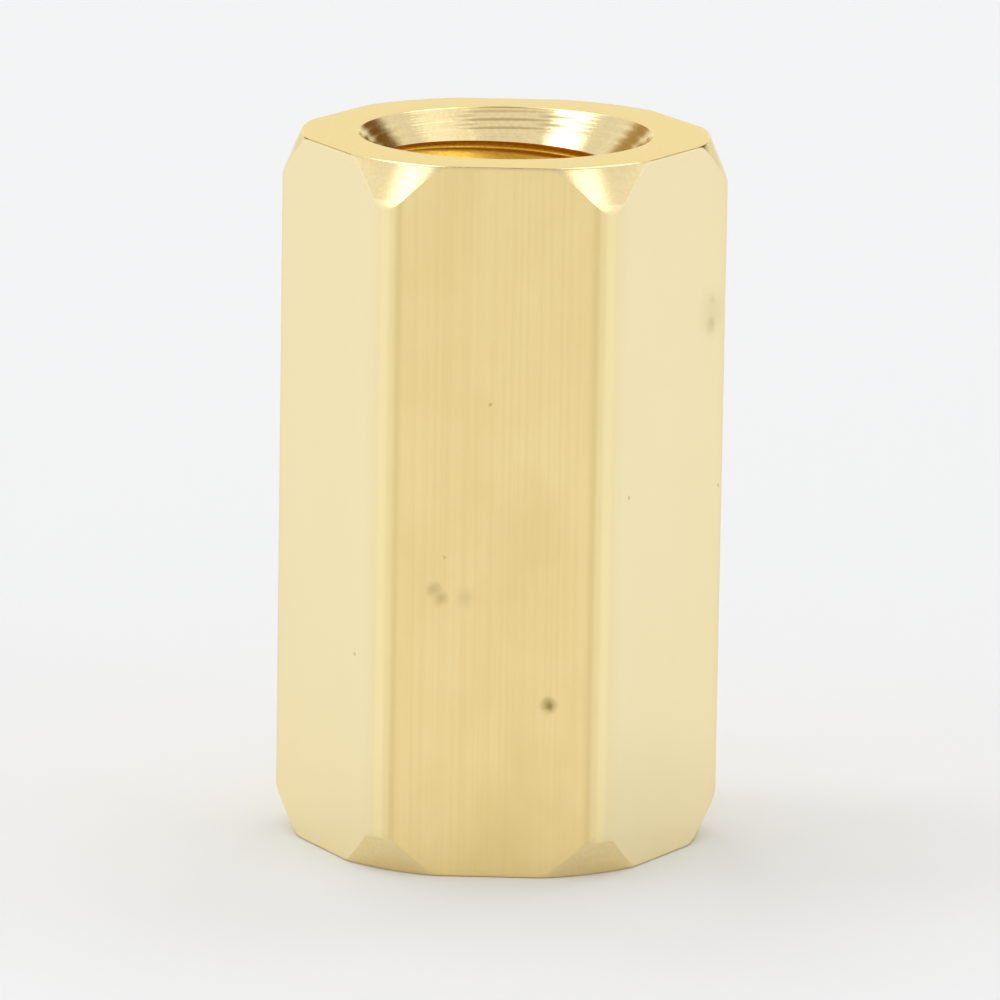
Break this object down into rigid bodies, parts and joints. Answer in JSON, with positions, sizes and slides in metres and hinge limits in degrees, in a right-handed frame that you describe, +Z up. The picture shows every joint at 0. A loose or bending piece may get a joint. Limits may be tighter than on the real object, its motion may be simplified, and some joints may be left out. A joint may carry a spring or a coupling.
{
  "type": "threaded hex standoff",
  "caption": "Hexagonal brass spacer with a countersunk, threaded hole right through, which screws between two boards or panels and holds them a fixed distance apart.",
  "frame": {"origin": "centre of the lower end face, on the axis of the bore", "axes": "+Z runs up the bore from the lower end face to the upper one; a flat faces -Y and another +Y, and a long edge points along +X and another along -X"},
  "size_m": [0.009, 0.008, 0.0145],
  "materials": {
    "drawn_brass": "bare brass: satin drawn flats, fine turned rings on the end faces, chamfers and countersinks"
  },
  "bodies": {
    "root": {"hex_standoff": "drawn_brass"}
  },
  "joints": []
}
